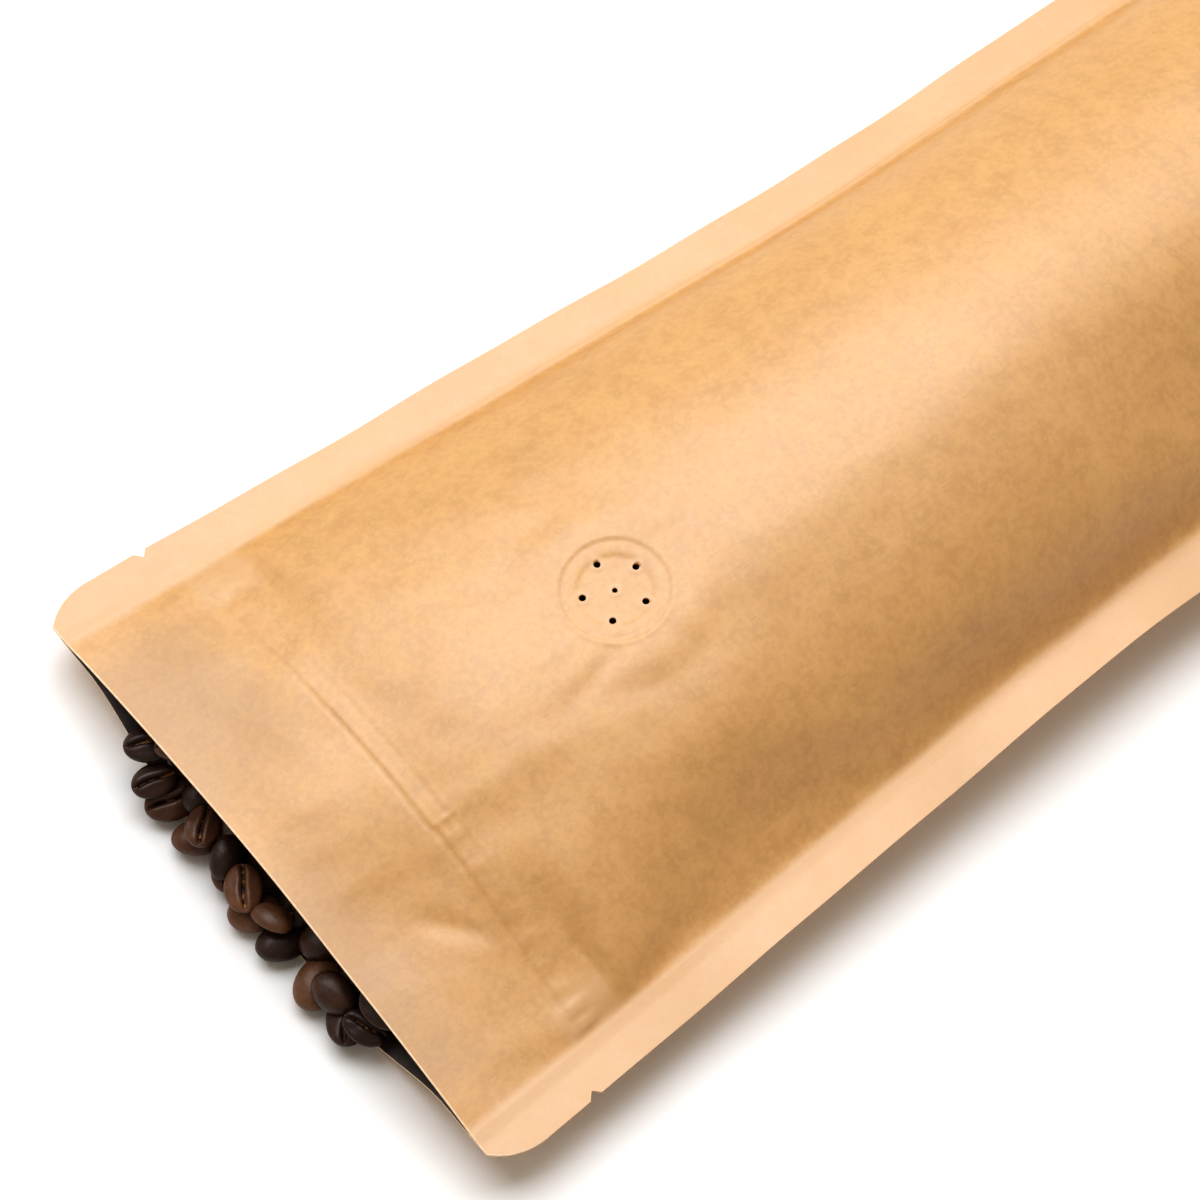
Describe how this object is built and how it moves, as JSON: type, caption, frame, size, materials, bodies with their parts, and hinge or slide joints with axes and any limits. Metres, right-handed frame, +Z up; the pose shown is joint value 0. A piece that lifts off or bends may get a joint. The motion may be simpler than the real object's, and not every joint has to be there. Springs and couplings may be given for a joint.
{
  "type": "stand-up pouch",
  "caption": "Filled kraft stand-up pouch lying on its back, mouth open on roasted beans, with sealed sides, tear notches, press zip, round vent valve and folded bottom gusset.",
  "frame": {"origin": "on the surface it lies on, under the middle of the whole", "axes": "+X across the pouch, +Y from the mouth to the bottom gusset, +Z up out of the front panel"},
  "size_m": [0.1358, 0.2726, 0.0468],
  "materials": {
    "kraft": "matt unbleached kraft, faint fibre grain",
    "roast": "dark roasted, slight oily sheen",
    "clear": "milky polyethylene",
    "vent": "dark polyethylene"
  },
  "bodies": {
    "root": {"pouch": "kraft", "beans": "roast", "zip_front": "clear", "zip_back": "clear", "valve": "vent"}
  },
  "joints": []
}
